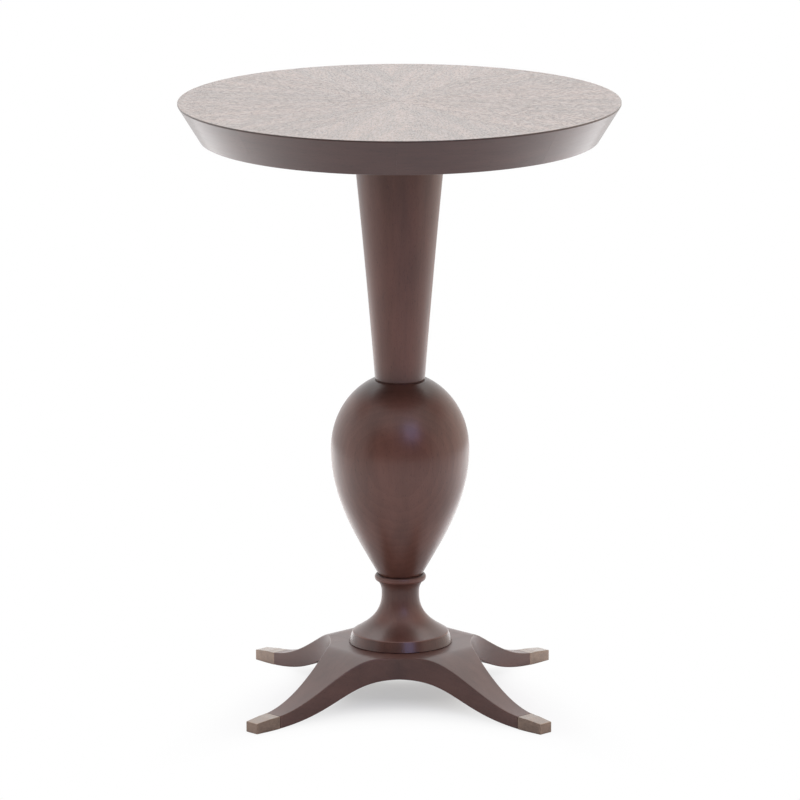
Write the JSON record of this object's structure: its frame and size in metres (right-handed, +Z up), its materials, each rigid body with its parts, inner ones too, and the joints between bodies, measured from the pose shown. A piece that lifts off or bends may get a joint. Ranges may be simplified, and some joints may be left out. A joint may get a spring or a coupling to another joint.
{
  "type": "side table",
  "caption": "Round pedestal side table with an undercut veneered top, a tapered column, an urn baluster and swept legs with metal toe caps.",
  "frame": {"origin": "on the floor under the middle of the table", "axes": "+Z up along the column; the four legs lie on the diagonals between X and Y"},
  "size_m": [0.508, 0.508, 0.702],
  "materials": {
    "top_veneer": "stained open-pored walnut veneer under satin lacquer",
    "rim_wood": "dark stained walnut under satin lacquer",
    "core_board": "dark stained board",
    "block_wood": "dark stained hardwood",
    "column_wood": "dark stained walnut under satin lacquer",
    "urn_wood": "dark stained walnut under satin lacquer",
    "neck_wood": "dark stained walnut under satin lacquer",
    "leg_wood": "dark stained walnut under satin lacquer",
    "tongue_wood": "raw plywood",
    "toe_cap_bronze": "antique bronze, satin",
    "fixing_steel": "zinc plated"
  },
  "bodies": {
    "root": {"veneer_leaf_1": "top_veneer", "veneer_leaf_2": "top_veneer", "veneer_leaf_3": "top_veneer", "veneer_leaf_4": "top_veneer", "veneer_leaf_5": "top_veneer", "veneer_leaf_6": "top_veneer", "veneer_leaf_7": "top_veneer", "veneer_leaf_8": "top_veneer", "veneer_leaf_9": "top_veneer", "veneer_leaf_10": "top_veneer", "veneer_leaf_11": "top_veneer", "veneer_leaf_12": "top_veneer", "rim_segment_1": "rim_wood", "rim_segment_2": "rim_wood", "rim_segment_3": "rim_wood", "rim_segment_4": "rim_wood", "rim_segment_5": "rim_wood", "rim_segment_6": "rim_wood", "rim_segment_7": "rim_wood", "rim_segment_8": "rim_wood", "core_panel": "core_board", "mounting_block": "block_wood", "block_screw_1": "fixing_steel", "block_screw_2": "fixing_steel", "block_screw_3": "fixing_steel", "block_screw_4": "fixing_steel", "block_screw_5": "fixing_steel", "block_screw_6": "fixing_steel", "column": "column_wood", "urn": "urn_wood", "neck_and_plinth": "neck_wood", "tie_rod": "fixing_steel", "upper_washer": "fixing_steel", "upper_nut": "fixing_steel", "lower_washer": "fixing_steel", "lower_nut": "fixing_steel", "hub_plate": "fixing_steel", "leg_1": "leg_wood", "leg_2": "leg_wood", "leg_3": "leg_wood", "leg_4": "leg_wood", "mitre_tongue_1": "tongue_wood", "mitre_tongue_2": "tongue_wood", "mitre_tongue_3": "tongue_wood", "mitre_tongue_4": "tongue_wood", "plate_screw_1": "fixing_steel", "plate_screw_2": "fixing_steel", "plate_screw_3": "fixing_steel", "plate_screw_4": "fixing_steel", "toe_cap_1": "toe_cap_bronze", "toe_cap_2": "toe_cap_bronze", "toe_cap_3": "toe_cap_bronze", "toe_cap_4": "toe_cap_bronze", "toe_cap_pin_1": "fixing_steel", "toe_cap_pin_2": "fixing_steel", "toe_cap_pin_3": "fixing_steel", "toe_cap_pin_4": "fixing_steel"}
  },
  "joints": []
}
